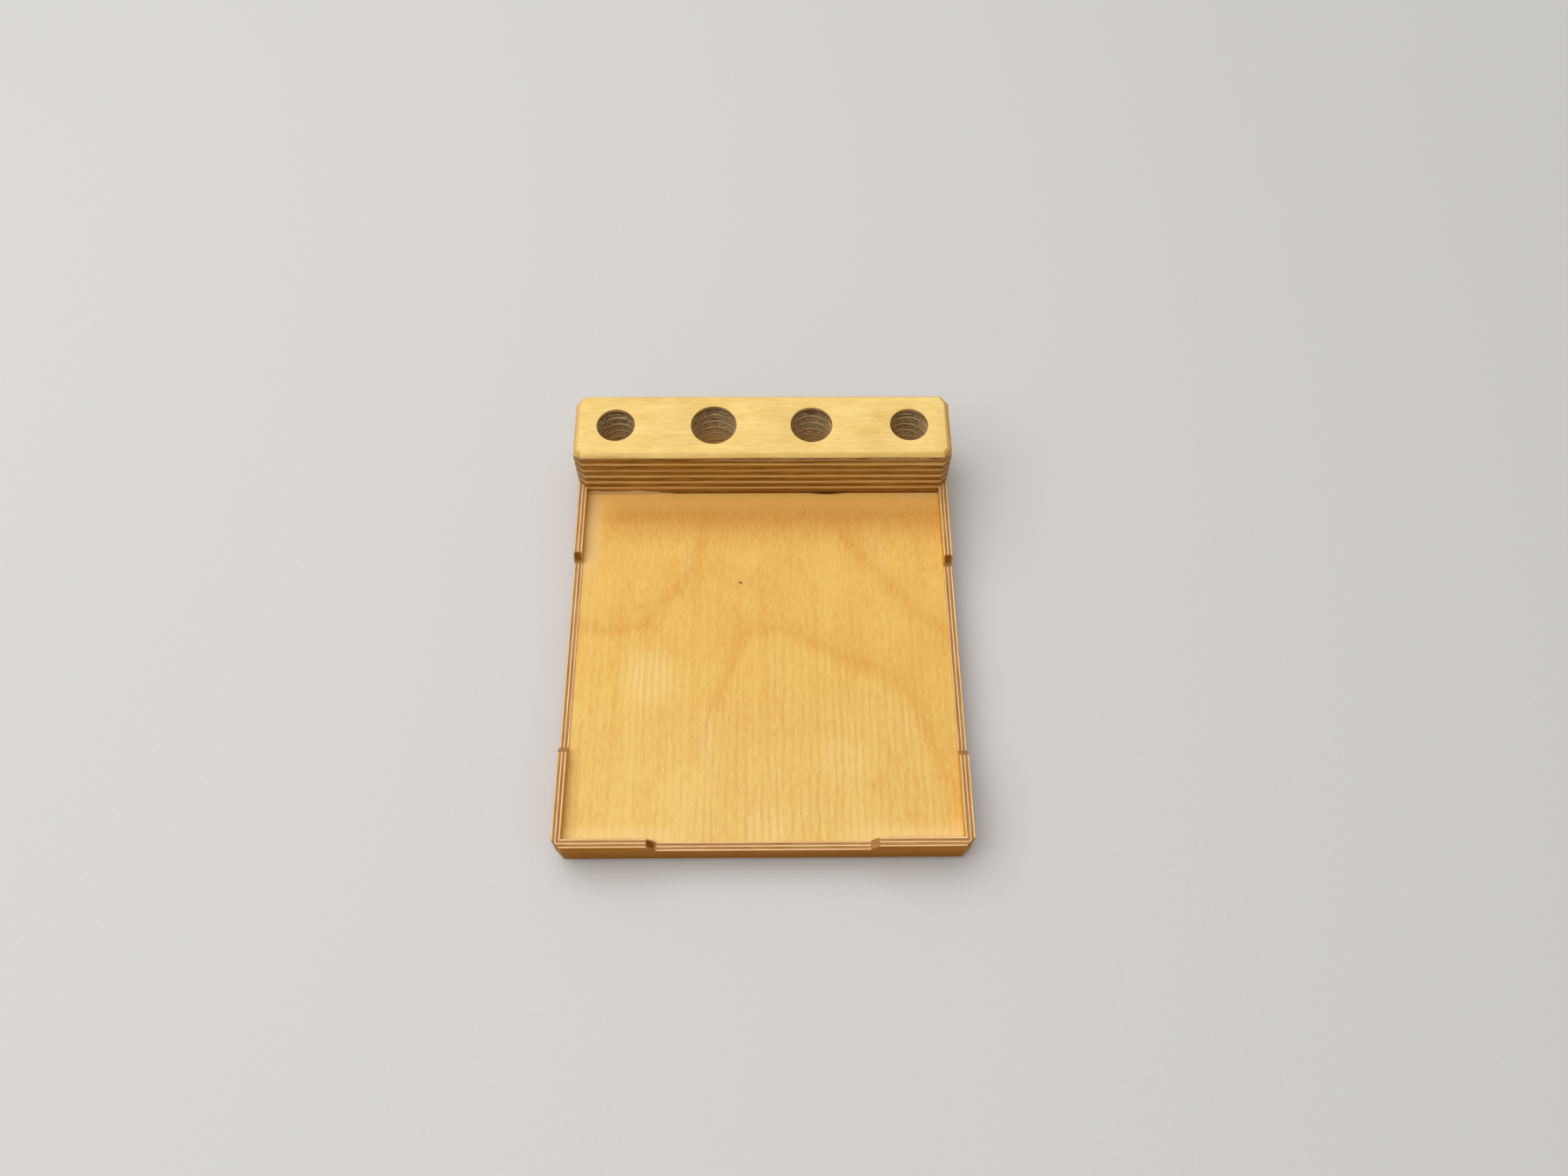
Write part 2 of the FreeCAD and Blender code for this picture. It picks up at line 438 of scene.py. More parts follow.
def block_side(shader, color):
    """Cut edges of the block's plies: darker towards each glue line, and one ply duller than the rest."""
    low, high = (corner.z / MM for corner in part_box(DULL_PLY))
    streaks = shader.smooth(shader.grain(X_AXIS, 0.08, 2.2, detail=3.0), 0.35, 0.65)
    dull = shader.product(
        shader.smooth(shader.z, low - DULL_BLUR, low),
        shader.smooth(shader.z, high + DULL_BLUR, high),
        shader.smooth(shader.facing(Z_AXIS), *NOT_LEVEL),
        shader.span(streaks, 0.45, 0.05),
    )
    color = shader.mix(dull, color, END_GRAIN[0])
    return shader.mix(shader.product(ply_edges(shader, Z_AXIS, 0.35), 0.35), color, GLUE_LINE)


def seam_shade(shader, seam, level):
    """1 where painted shade darkens an opened glue line, below a level; it is narrower behind the front
    corner.
    """
    _, start, end, _, height = seam
    ragged = shader.cloud(shader.mm, 0.25, 3.0)
    towards_front = shader.smooth(shader.y, block_front + corner_cut, block_front)
    reach = shader.product(
        shader.smooth(shader.x, start, start + SEAM_RAMP),
        shader.smooth(shader.x, end, end - SEAM_RAMP),
        shader.span(ragged, -0.2 * height, 2.2 * height),
        shader.span(towards_front, 0.25, 1.0),
    )
    below = shader.math("SUBTRACT", level, shader.z)
    shade = shader.smooth(shader.math("SUBTRACT", reach, below), -0.05, 0.15)
    return shader.product(shade, shader.smooth(below, -0.25, -0.05))


def sanded_and_shaded_edges(shader):
    """How brown the block's sloping edges are: sanded, most at its corners, and darker to the right as
    painted shade.
    """
    upwards = shader.facing(Z_AXIS)
    at_ends = shader.smooth(shader.facing(X_AXIS), 0.25, 0.45)
    at_corners = shader.product(at_ends, shader.smooth(shader.facing(Y_AXIS), 0.25, 0.45))
    # Painted shade, growing to the right
    shade_to_right = shader.smooth(shader.x, *SHADE_TO_RIGHT_X)
    tint = shader.layers(0.14, (at_ends, 0.25), (at_corners, 0.35), (shade_to_right, 0.22))
    return shader.product(tint, shader.smooth(upwards, 0.3, 0.6), shader.smooth(upwards, 0.98, 0.85))


def shoulder_highlight(shader, level, in_front):
    """How strong the painted highlight on the second ply's rounded upper edge is: beside the open seam and on
    the block's ends.
    """
    below = shader.math("SUBTRACT", level, shader.z)
    behind = shader.smooth(shader.y, block_front + SEAM_DEPTH, block_front + corner_cut)
    beside_seam = shader.product(in_front, shader.smooth(shader.x, *SHOULDER_SEAM_X))
    from_middle = shader.math("ABSOLUTE", shader.x)
    on_ends = shader.smooth(from_middle, *(block_end - inset for inset in SHOULDER_END))
    return shader.product(
        shader.smooth(below, *SHOULDER_TOP),
        shader.smooth(below, *SHOULDER_FOOT),
        shader.span(behind, 0.3, 0.8),
        shader.math("MAXIMUM", beside_seam, on_ends),
    )


def block_marks(shader, color):
    """Marks on the block's outside: sanded edges with painted shade to the right, a darker foot, a painted
    highlight on the second ply's shoulder, painted shade in open seams, and glue.
    """
    color = shader.mix(sanded_and_shaded_edges(shader), color, SANDED_AND_SHADED_EDGE)
    # Darker towards the block's foot
    darker = shader.smooth(shader.z, block_foot + FOOT_DARKENING, block_foot + 0.5 * FOOT_DARKENING)
    color = shader.mix(darker, color, END_GRAIN[0])
    top_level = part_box("block_ply_02")[1].z / MM
    foot_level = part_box(f"block_ply_{block_ply_count}")[1].z / MM
    in_front = shader.smooth(shader.y, block_front + 2 * SEAM_DEPTH, block_front + SEAM_DEPTH)
    # Painted highlight on the second ply's shoulder
    color = shader.mix(shoulder_highlight(shader, top_level, in_front), color, SHOULDER_HIGHLIGHT)
    round_end = shader.smooth(shader.x, *(block_end - inset for inset in SEAM_ROUND_END))
    open_side = shader.math("MAXIMUM", in_front, round_end)
    for seam, level in ((TOP_SEAM, top_level), (FOOT_SEAM, foot_level)):
        # Painted shade in the open seams
        color = shader.mix(shader.product(seam_shade(shader, seam, level), open_side, 0.8), color, CREVICE_SHADE)
    bead = shader.smooth(shader.y, *(block_front - proud for proud in BEAD_FACE))
    return shader.mix(bead, color, GLUE_BEAD)


def inside_tray(shader):
    """1 over the tray's floor and on the strip faces around it, 0 beyond them."""
    low, high = (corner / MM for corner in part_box("base_ply_01"))
    from_side = shader.math("SUBTRACT", high.x, shader.math("ABSOLUTE", shader.x))
    from_front = shader.math("SUBTRACT", shader.y, low.y)
    return shader.smooth(shader.math("MINIMUM", from_side, from_front), -0.1, -0.02)


def strip_face(shader, tone):
    """Colour of a strip's broad faces: outside, a darker brown copy of the wood as painted shade, darker
    still towards the foot as painted shade; paler, the wood's own colour, in the tray.
    """
    # Painted shade: darker towards the strip's foot
    low = shader.product(shader.smooth(shader.z, *STRIP_SHADE), 0.6)
    outer = shader.mix(low, shader.mix(tone, *STRIP_OUTSIDE_SHADED), STRIP_FOOT_SHADE)
    return shader.mix(inside_tray(shader), outer, shader.mix(tone, *STRIP_INSIDE))


def inner_plies(shader, strip, stack_axis):
    """1 in the three inner plies of a strip, 0 in its outermost ones."""
    faces = [corner[stack_axis] / MM for ply in ("_02", "_04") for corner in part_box(strip + ply)]
    middle = (min(faces) + max(faces)) / 2
    half = (max(faces) - min(faces)) / 2
    across = shader.math("SUBTRACT", shader.component(shader.mm, stack_axis), middle)
    return shader.smooth(shader.math("ABSOLUTE", across), half + SLOPE_SHADE_BLUR, half - SLOPE_SHADE_BLUR)


def shaded_slope(shader, strip, stack_axis):
    """How dark a dip's slope is: end grain of its inner plies, darkened as painted shade on the one slope
    that faces away from the light, to the right or to the front.
    """
    along = X_AXIS + Y_AXIS - stack_axis
    away_from_light = 1.0 if along == X_AXIS else -1.0
    return shader.product(
        shader.smooth(shader.product(shader.normal(along), away_from_light), 0.3, 0.6),
        inner_plies(shader, strip, stack_axis),
        shader.smooth(shader.z, *SLOPE_SHADE_FADE),
    )


def veneer(board, run, grain_axis, stack_axis, palette):
    """Birch veneer: pale along the grain, brown where the fibres end, and dark at its glue lines."""
    shader = Shader(f"{board}_{run}")
    is_strip = "strip" in board
    side_axis = X_AXIS + Y_AXIS + Z_AXIS - grain_axis - stack_axis
    fibres = shader.grain(grain_axis, 0.2, 2.4, detail=4.0)
    bands = shader.grain(grain_axis, 0.02, 0.4, detail=2.0)
    blotches = shader.grain(grain_axis, 0.09, 0.2, detail=3.0)
    dashes = shader.smooth(shader.grain(grain_axis, 0.45, 3.6, detail=2.0), 0.54, 0.72)
    streaks = shader.smooth(shader.grain(side_axis, 0.12, 2.6, detail=4.0, roughness=0.65), 0.32, 0.68)
    tone = shader.layers(
        0.62,
        (shader.around(shader.smooth(fibres, 0.34, 0.66)), 0.45),
        (shader.around(bands), 0.6),
        (shader.around(blotches), 1.6),
        (shader.around(shader.random), 0.35),
    )
    face = shader.mix(tone, *palette)
    if is_strip:
        broad_face = shader.smooth(shader.facing(stack_axis), 0.5, 0.8)
        face = shader.mix(broad_face, face, strip_face(shader, tone))
    face = shader.mix(shader.product(dashes, 0.18), face, END_GRAIN[1])
    end = shader.mix(streaks, *(STRIP_TOP_END if is_strip else END_GRAIN))

    height = fibres
    if board == "block_ply":
        upright = shader.smooth(shader.facing(Z_AXIS), 0.75, 0.5)
        cut = LONG_PLY_CUT if run == "long" else CROSS_PLY_CUT
        end_share = shader.product(end_grain_share(shader, grain_axis, *cut), upright)
        if run == "long":
            # Painted shade: the long plies' upright faces take the darker copy
            face = shader.mix(upright, face, shader.mix(tone, *BLOCK_EDGE_SHADED))
        side = block_side(shader, shader.mix(end_share, face, end))
        in_bore = bore_mask(shader)
        color = block_marks(shader, shader.mix(in_bore, side, bore_wall(shader, grain_axis, streaks)))
        torn = shader.product(shader.grain(side_axis, 0.5, 1.8, detail=3.0), in_bore)
        height = shader.math("MULTIPLY_ADD", torn, 8.0, fibres)
    else:
        end_share = end_grain_share(shader, grain_axis)
        color = shader.mix(end_share, face, end)
        if is_strip:
            # Painted shade on the dip slope that faces away from the light
            slope_shade = shaded_slope(shader, board, stack_axis)
            color = shader.mix(slope_shade, color, shader.mix(streaks, *STRIP_SLOPE_END_SHADED))
        glue = shader.product(ply_edges(shader, stack_axis, 0.2), 0.6)
        color = shader.mix(glue, color, GLUE_LINE)
    roughness = shader.span(end_share, 0.36, 0.52)
    return shader.finish(
        color, roughness, height, **{"Specular IOR Level": STRIP_GLOSS if is_strip else BLOCK_GLOSS})


def ring_place(shader, points, x):
    """Y of a growth-ring line on the floor, at x."""
    curve = shader.tree.nodes.new("ShaderNodeFloatCurve")
    line = curve.mapping.curves[0]
    for _ in points[2:]:
        line.points.new(0.5, 0.5)
    for knot, (knot_x, knot_y) in zip(line.points, points):
        knot.location = (knot_x / RING_SPAN + 0.5, knot_y / RING_SPAN + 0.5)
    curve.mapping.update()
    across = shader.math("MULTIPLY_ADD", x, 1 / RING_SPAN, 0.5)
    shader.tree.links.new(across, curve.inputs["Value"])
    return shader.span(curve.outputs[0], -RING_SPAN / 2, RING_SPAN / 2)


def behind_ring(shader, points):
    """Distance behind a growth-ring line, square to the line."""
    here = ring_place(shader, points, shader.x)
    slope = shader.math("SUBTRACT", ring_place(shader, points, shader.math("ADD", shader.x, 1.0)), here)
    lengthen = shader.math("SQRT", shader.math("MULTIPLY_ADD", slope, slope, 1.0))
    return shader.math("DIVIDE", shader.math("SUBTRACT", shader.y, here), lengthen)


def spot(shader, x, y, radius):
    """1 inside a small round spot on a level surface."""
    return shader.smooth(from_point(shader, x, y), radius, radius * 0.5)


def patch(shader, x, y, half_width, half_length, strength=1.0):
    """Strength in the middle of an upright oval on a level surface, fading to 0 at its rim."""
    moved = shader.add("VectorMath", {0: shader.mm, 1: (x, y, 0.0)}, operation="SUBTRACT")
    inputs = {0: moved, 1: (1 / half_width, 1 / half_length, 0.0)}
    scaled = shader.add("VectorMath", inputs, operation="MULTIPLY")
    from_middle = shader.add("VectorMath", {0: scaled}, "Value", operation="LENGTH")
    return shader.product(shader.smooth(from_middle, 1.0, 0.2), strength)


def growth_rings(shader, feather):
    """Depth of colour, 0 to 1, of the flame figure: soft lines that fade out behind and in front."""
    rings = 0.0
    for points in (LEFT_RING, MIDDLE_RING, RIGHT_RING):
        behind = shader.math("ADD", behind_ring(shader, points), feather)
        line = shader.smooth(shader.math("ABSOLUTE", behind), RING_LINE, 0.0)
        darker = shader.product(
            shader.smooth(behind, RING_STAIN, 0.0), shader.smooth(behind, -RING_EDGE, RING_EDGE))
        ring = shader.math("MULTIPLY_ADD", darker, 0.45, shader.product(line, 0.45))
        rings = shader.math("MAXIMUM", rings, ring)
    right_of_legs = shader.smooth(shader.x, *RING_LEG_X)
    legs = shader.math("MAXIMUM", right_of_legs, shader.smooth(shader.y, *RING_LEG_Y))
    return shader.product(rings, legs, shader.smooth(shader.y, *RING_FRONT_Y))


def fine_cords(shader):
    """Fine wavy lines along the grain: distance from the nearest one, 0 to 0.5, and its strength."""
    sway = shader.product(shader.grain(Y_AXIS, 0.02, 0.08, detail=1.0), 1.6)
    jitter = shader.product(shader.grain(Y_AXIS, 0.12, 0.5, detail=2.0), 0.9)
    phase = shader.math("MULTIPLY_ADD", shader.x, 1 / CORD_PITCH, shader.math("ADD", sway, jitter))
    under_arch = shader.smooth(behind_ring(shader, MIDDLE_RING), *CORD_ARCH)
    strength = shader.product(
        shader.smooth(shader.grain(Y_AXIS, 0.06, 0.4, detail=3.0), 0.28, 0.68),
        shader.smooth(shader.y, *CORD_Y),
        shader.span(under_arch, 0.55, 1.0),
    )
    return shader.math("PINGPONG", phase, 0.5), strength


def floor_figure(shader, fine, mottle):
    """Colour of the floor's wood: flame figure, a streaky orange band beside the block, and painted light at
    the block's foot.
    """
    blotches = shader.grain(Y_AXIS, 0.07, 0.11, detail=2.0)
    bands = shader.grain(Y_AXIS, 0.012, 0.3, detail=2.0)
    uneven = shader.around(mottle)
    rings = growth_rings(shader, shader.product(uneven, RING_STRAY))
    tone = shader.layers(
        shader.span(rings, 0.20, 0.60),
        (shader.around(fine), 0.32),
        (uneven, 0.44),
        (shader.around(blotches), 0.6),
        (shader.around(bands), 0.5),
    )
    wood = shader.mix(shader.smooth(shader.y, *FRONT_TONE_Y), FLOOR_WOOD, FLOOR_FRONT)
    color = shader.mix(tone, wood, FLOOR_FIGURE)
    band = shader.product(
        shader.smooth(shader.math("MULTIPLY_ADD", uneven, BAND_STRAY, shader.y), *BAND_Y),
        shader.smooth(shader.x, *BAND_X),
        shader.span(fine, 0.55, 1.0),
    )
    color = shader.mix(band, color, FLOOR_BESIDE_BLOCK)
    # Painted light at the block's foot
    return shader.mix(shader.product(shader.smooth(shader.y, *LIGHT_AT_BLOCK_Y), 0.9), color, FLOOR_LIGHT_AT_BLOCK)


def floor_sheen_and_wear(shader, from_cord, strength, mottle):
    """How far the floor's pale flecks show: painted sheen in patches between the fine lines, and pale wear
    along the front.
    """
    pale = 0.0
    # Painted sheen in patches
    for place in SHEEN_PATCHES:
        pale = shader.math("MAXIMUM", pale, patch(shader, *place))
    pale = shader.layers(0.0, (pale, 0.8), (strength, 0.25))
    flecks = shader.product(shader.smooth(from_cord, 0.05, 0.4), shader.smooth(mottle, 0.3, 0.6))
    flecks = shader.product(shader.span(flecks, 0.14, 0.56), pale)
    from_middle = shader.math("ABSOLUTE", shader.x)
    beside_dip = shader.smooth(from_middle, *FRONT_WEAR_X)
    front = shader.product(shader.smooth(shader.y, *FRONT_WEAR_Y), beside_dip)
    return shader.math("MULTIPLY_ADD", front, 0.45, flecks)


def floor_glue(shader):
    """How much of a pale haze of glue lies on the floor: along its left edge and in a back corner."""
    left = shader.product(shader.smooth(shader.x, *HAZE_LEFT_X), shader.smooth(shader.y, *HAZE_LEFT_Y))
    dabs = shader.product(
        shader.smooth(shader.x, *HAZE_CORNER_X),
        shader.smooth(shader.y, *HAZE_CORNER_Y),
        shader.smooth(shader.grain(Y_AXIS, 0.5, 0.7, detail=2.0), 0.5, 0.66),
    )
    return shader.layers(0.0, (left, 0.45), (dabs, 0.5))


def floor_veneer():
    """Rotary-cut face veneer of the tray floor: figure, fine wavy lines, flecks of painted sheen, glue haze
    and specks, and painted shade and light by the block.
    """
    shader = Shader("floor_veneer")
    fibres = shader.grain(Y_AXIS, 0.45, 3.4, detail=4.0)
    fine = shader.smooth(fibres, 0.36, 0.64)
    mottle = shader.grain(Y_AXIS, 0.25, 1.2, detail=2.0)
    vessels = shader.smooth(shader.grain(Y_AXIS, 0.6, 3.4, detail=1.0), 0.54, 0.72)
    end_streaks = shader.smooth(shader.grain(X_AXIS, 0.12, 2.6, detail=4.0), 0.32, 0.68)
    from_cord, strength = fine_cords(shader)
    cords = shader.product(shader.smooth(from_cord, 0.34, 0.0), strength)
    color = floor_figure(shader, fine, mottle)
    color = shader.mix(shader.layers(0.0, (cords, 0.4), (vessels, 0.2)), color, FLOOR_CORD)
    # Painted sheen in pale flecks, and pale wear at the front
    color = shader.mix(floor_sheen_and_wear(shader, from_cord, strength, mottle), color, FLOOR_SHEEN_AND_WEAR)
    color = shader.mix(floor_glue(shader), color, FLOOR_HAZE)
    for mark in FLOOR_SPECKS:
        color = shader.mix(spot(shader, *mark), color, SPECK)
    # Painted shade on the floor below the block's opened foot seam
    color = shader.mix(patch(shader, *FOOT_SHADE), color, CREVICE_SHADE)
    color = shader.mix(end_grain_share(shader, Y_AXIS), color, shader.mix(end_streaks, *END_GRAIN))
    roughness = shader.span(mottle, 0.28, 0.42)
    return shader.finish(color, roughness, fibres, height_mm=0.015, **{"Specular IOR Level": FLOOR_GLOSS})


def bumper():
    """Clear soft plastic, a little cloudy."""
    shader = Shader("clear_bumper")
    cloud = shader.cloud(shader.own_mm, 0.6, 2.0)
    color = shader.mix(cloud, *FOOT_PLASTIC)
    roughness = shader.span(cloud, 0.12, 0.27)
    return shader.finish(color, roughness, **{"Transmission Weight": 0.75, "IOR": 1.49})


def veneer_materials():
    """Material of each board's plies: long grain under (board, 1), cross grain under (board, 0)."""
    grains = {
        "block_ply": (Z_AXIS, X_AXIS, Y_AXIS, BLOCK_LONG, BLOCK_CROSS),
        "base_ply": (Z_AXIS, Y_AXIS, X_AXIS, BLOCK_LONG, BLOCK_CROSS),
        "front_strip_ply": (Y_AXIS, X_AXIS, Z_AXIS, STRIP_LONG, STRIP_CROSS),
        "left_strip_ply": (X_AXIS, Y_AXIS, Z_AXIS, STRIP_LONG, STRIP_CROSS),
        "right_strip_ply": (X_AXIS, Y_AXIS, Z_AXIS, STRIP_LONG, STRIP_CROSS),
    }
    materials = {}
    for board, (stack, long_grain, cross_grain, long_palette, cross_palette) in grains.items():
        materials[board, 1] = veneer(board, "long", long_grain, stack, long_palette)
        materials[board, 0] = veneer(board, "cross", cross_grain, stack, cross_palette)
    return materials


def dress_nodes(materials):
    """Give every piece of the frame its material, and the veneers eased edges."""
    clear = bumper()
    for name, node in nodes.items():
        board, _, number = name.rpartition("_")
        node.data.materials.clear()
        if number == "foot":
            node.data.materials.append(clear)
            continue
        node.data.materials.append(materials[board, int(number) % 2])
        weld = node.modifiers.new("weld", "WELD")
        weld.merge_threshold = WELD_DISTANCE * MM
        ease = node.modifiers.new("ease", "BEVEL")
        ease.width = VENEER_EASE * MM
        ease.segments = EASE_SEGMENTS
        ease.limit_method = "ANGLE"
    nodes["base_ply_01"].data.materials[0] = floor_veneer()


def stray(number, x, y):
    """How far the boundary below a block ply rises above its level."""
    if number in (0, block_ply_count):
        return 0.0
    slow = noise.noise(Vector((x, y, STRAY_SLOW_SHIFT * number)) * STRAY_SLOW)
    quick = noise.noise(Vector((x, y, STRAY_QUICK_SHIFT * number)) * STRAY_QUICK)
    thinner = min(ply_heights[number - 1], ply_heights[number])
    rise = PLY_STRAY * thinner * (slow + STRAY_QUICK_SHARE * quick)
    return min(rise, 0.0) if number == 1 else rise


def between(x, start, end, ramp):
    """1 within a stretch, falling over a ramp to 0 at its ends."""
    return max(0.0, min(1.0, (x - start) / ramp, (end - x) / ramp))


def seam_gap(number, x, y):
    """Height of the gap where the boundary below a block ply has opened at the front."""
    if y > block_front + SEAM_DEPTH:
        return 0.0
    gaps = [0.0]
    for boundary, start, end, height, _ in (TOP_SEAM, FOOT_SEAM):
        if boundary == number:
            gaps.append(height * between(x, start, end, min(SEAM_RAMP, (end - start) / 2)))
    ragged = 0.75 + 0.6 * noise.noise(Vector((x * SEAM_RAGGED, 0.0, SEAM_SHIFT * number)))
    return max(0.0, ragged) * max(gaps)


def bead_depth(x, y, z):
    """How far squeezed-out glue comes forward at the block's foot."""
    if y > block_front + SEAM_DEPTH:
        return 0.0
    lumps = 1.0 + 0.25 * noise.noise(Vector((x * BEAD_LUMPS, 0.0, 0.0)))
    reach = lumps * between(x, BEAD_START, BEAD_END, BEAD_RAMP)
    return BEAD_DEPTH * max(0.0, reach - (z - block_foot) / BEAD_HEIGHT)


def plan_corners(low, high, cut):
    """Corners of a rectangle whose own corners are cut off at 45 degrees."""
    right = [
        (high.x - cut, low.y),
        (high.x, low.y + cut),
        (high.x, high.y - cut),
        (high.x - cut, high.y),
    ]
    mirrored = [(low.x + high.x - x, y) for x, y in reversed(right)]
    return [Vector(corner) for corner in right + mirrored]


def plan_outline(low, high, inset):
    """Points round the block in plan, inset from its sides; as many of them at every inset."""
    outer = plan_corners(low, high, corner_cut)
    margin = Vector((inset, inset))
    inner = plan_corners(low.xy + margin, high.xy - margin, corner_cut - inset * (2 - math.sqrt(2)))
    points = []
    for index, corner in enumerate(outer):
        steps = max(1, round((corner - outer[index - 1]).length / BLOCK_EDGE_STEP))
        points += [inner[index - 1].lerp(inner[index], step / steps) for step in range(steps)]
    return points


def wall(mesh, loops):
    """Smooth wall through loops of points, each with as many; gives its first and last loop."""
    rings = [[mesh.verts.new(point * MM) for point in loop] for loop in loops]
    for upper, lower in zip(rings, rings[1:]):
        for index in range(len(upper)):
            face = mesh.faces.new((upper[index - 1], lower[index - 1], lower[index], upper[index]))
            face.smooth = True
    return rings[0], rings[-1]


def cap(mesh, rings):
    """Close the level face between an outer ring and the rings of its holes."""
    pairs = [(ring[index - 1], ring[index]) for ring in rings for index in range(len(ring))]
    edges = [mesh.edges.get(pair) for pair in pairs]
    bmesh.ops.triangle_fill(mesh, use_beauty=True, edges=edges, normal=(0.0, 0.0, 1.0))


def side_rows(number, y):
    """Rows of a block ply's outside at y, from its top: (inset, share of its height, rise from there)."""
    end_share = between(y, block_front, block_back, corner_cut)
    if number == 1:
        ledge = END_LEDGE * end_share
        ease = EDGE_EASE * math.sqrt(0.5)
        return [
            (ledge + top_chamfer + EDGE_EASE, 1.0, 0.0),
            (ledge + top_chamfer - ease, 1.0, -ease),
            (ledge + ease, 1.0, ease - top_chamfer),
            (ledge, 0.0, 0.3 * EDGE_EASE),
            (ledge + GLUE_GROOVE, 0.0, 0.0),
        ]
    upper = [(GLUE_GROOVE, 1.0, 0.0), (0.0, 1.0, -EDGE_EASE)]
    if number == 2:
        shoulder = SHOULDER_INSET if y < block_front + corner_cut else SHOULDER_INSET_BEHIND
        shoulder += (END_LEDGE + GLUE_GROOVE - shoulder) * end_share
        upper = [(inset * shoulder, 1.0, -drop * SHOULDER_DROP) for inset, drop in SHOULDER_PROFILE]
    if number == block_ply_count:
        return upper + [(0.0, 0.4, 0.0), (0.0, 0.0, 0.0)]
    return upper + [(0.0, 0.5, 0.0), (0.0, 0.0, EDGE_EASE), (GLUE_GROOVE, 0.0, 0.0)]


def bore_rows(number):
    """Rows of a block ply's bores, from its top: (widening, share of its height, rise from there)."""
    recess = 0.0 if number % 2 else BORE_RECESS
    upper = [(BORE_GROOVE, 1.0, 0.0), (recess, 1.0 - BORE_GROOVE_SHARE, 0.0)]
    lower = [(recess, BORE_GROOVE_SHARE, 0.0), (BORE_GROOVE, 0.0, 0.0)]
    if number == 1:
        bend = 0.3 * BORE_MOUTH
        upper = [(BORE_MOUTH, 1.0, 0.0), (bend, 1.0, -bend), (0.0, 1.0, -BORE_MOUTH)]
    if number == block_ply_count:
        lower = [(recess, 0.0, 0.0)]
    return upper + [(recess, 0.5, 0.0)] + lower


def bore_loops(number, middle, radius, level):
    """Loops of points down one torn bore of a block ply; the rim at the block's top is smooth."""
    loops = []
    for widening, share, rise in bore_rows(number):
        loop = []
        for side in range(BORE_SIDES):
            turn = math.tau * side / BORE_SIDES
            out = Vector((math.cos(turn), math.sin(turn)))
            x, y = out * radius + middle
            z = level(x, y, share, rise)
            torn = BORE_TEAR * noise.noise(Vector((x, y, 2 * z)) * BORE_FIBRES)
            if number == 1 and share == 1.0:
                torn = 0.0
            x, y = out * (radius + widening + torn) + middle
            loop.append(Vector((x, y, z)))
        loops.append(loop)
    return loops


def block_ply(number, material):
    """One ply of the block: straying boundaries, eased edges, and torn bores grooved at the glue lines."""
    name = f"block_ply_{number:02d}"
    low, high = (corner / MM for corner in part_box(name))

    def level(x, y, share, rise):
        upper = high.z + stray(number - 1, x, y) - seam_gap(number - 1, x, y)
        lower = low.z + stray(number, x, y)
        if number == block_ply_count:
            lower += seam_gap(number, x, y)
        return lower + (upper - lower) * share + rise

    columns = []
    for outer, inset_by_one in zip(plan_outline(low, high, 0.0), plan_outline(low, high, 1.0)):
        column = []
        for inset, share, rise in side_rows(number, outer.y):
            x, y = outer.lerp(inset_by_one, inset)
            z = level(x, y, share, rise)
            column.append(Vector((x, y - bead_depth(x, y, z), z)))
        columns.append(column)

    mesh = bmesh.new()
    rings = [wall(mesh, list(zip(*columns)))]
    for middle_x, middle_y, radius in bores():
        rings.append(wall(mesh, bore_loops(number, Vector((middle_x, middle_y)), radius, level)))
    cap(mesh, [upper for upper, _ in rings])
    cap(mesh, [lower for _, lower in rings])
    bmesh.ops.recalc_face_normals(mesh, faces=mesh.faces)

    data = bpy.data.meshes.new(f"block_veneer_{number:02d}")
    mesh.to_mesh(data)
    mesh.free()
    data.set_sharp_from_angle(angle=SHARP_EDGE)
    data.materials.append(material)
    piece = bpy.data.objects.new(data.name, data)
    bpy.context.scene.collection.objects.link(piece)
    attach(piece, "root")
    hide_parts(name)


def block_cuts():
    """Corner cut and top chamfer of the block, read off its top ply."""
    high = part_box("block_ply_01")[1]
    points = [vertex.co for vertex in nodes["block_ply_01"].data.vertices]
    corner = high.y - max(point.y for point in points if high.x - point.x < 1e-6)
    chamfer = high.x - max(point.x for point in points if high.z - point.z < 1e-6)
    return corner / MM, chamfer / MM


def seen_directly(tree):
    """1 on rays from the camera and on those it sees in gloss and glass, 0 on rays that light the part."""
    path = tree.nodes.new("ShaderNodeLightPath")
    seen = path.outputs["Is Camera Ray"]
    for ray in ("Is Glossy Ray", "Is Transmission Ray"):
        either = tree.nodes.new("ShaderNodeMath")
        either.operation = "MAXIMUM"
        tree.links.new(seen, either.inputs[0])
        tree.links.new(path.outputs[ray], either.inputs[1])
        seen = either.outputs[0]
    return seen


